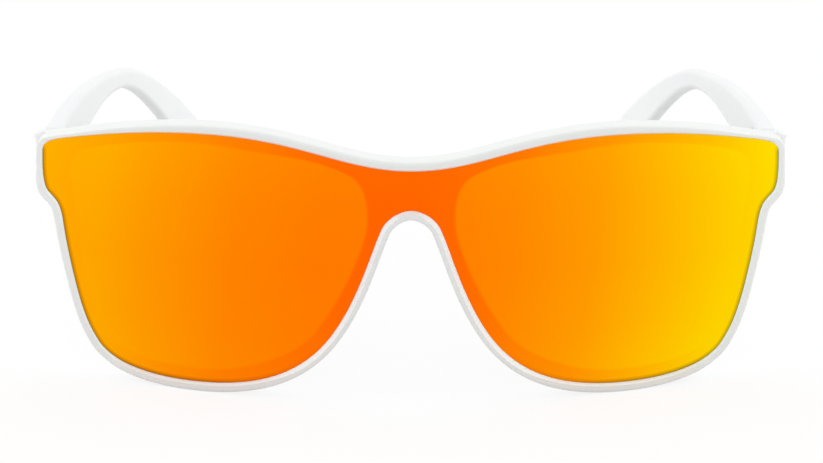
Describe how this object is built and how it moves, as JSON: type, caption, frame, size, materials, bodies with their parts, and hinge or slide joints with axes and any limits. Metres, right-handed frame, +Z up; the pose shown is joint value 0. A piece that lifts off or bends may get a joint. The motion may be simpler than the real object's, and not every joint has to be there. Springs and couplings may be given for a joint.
{
  "type": "wraparound sport sunglasses",
  "caption": "White moulded sunglasses with a one-piece orange mirrored lens, wrapped front, moulded nose bearings and arms that fold on screw hinges.",
  "frame": {"origin": "middle of the footprint, on the table under the open glasses", "axes": "+Z up, +Y back along the arms, +X to the right of the picture; left and right are those of the picture"},
  "size_m": [0.146, 0.1646, 0.0535],
  "materials": {
    "white_plastic": "semi-gloss white moulding",
    "orange_mirror": "orange to yellow mirror coating on a tinted lens",
    "hinge_steel": "bare steel"
  },
  "bodies": {
    "front": {"front_frame": "white_plastic", "shield_lens": "orange_mirror", "frame_hinge_left": "hinge_steel", "frame_hinge_right": "hinge_steel", "hinge_screw_left": "hinge_steel", "hinge_screw_right": "hinge_steel"},
    "arm_left": {"temple_left": "white_plastic", "temple_hinge_left": "hinge_steel"},
    "arm_right": {"temple_right": "white_plastic", "temple_hinge_right": "hinge_steel"}
  },
  "joints": [
    {"name": "fold_left", "type": "hinge", "parent": "front", "child": "arm_left", "pos_m": [-0.0665, -0.0535, 0.04214], "axis": [0, 0, -1], "range_deg": [0, 85]},
    {"name": "fold_right", "type": "hinge", "parent": "front", "child": "arm_right", "pos_m": [0.0665, -0.0535, 0.04214], "axis": [0, 0, 1], "range_deg": [0, 78]}
  ]
}
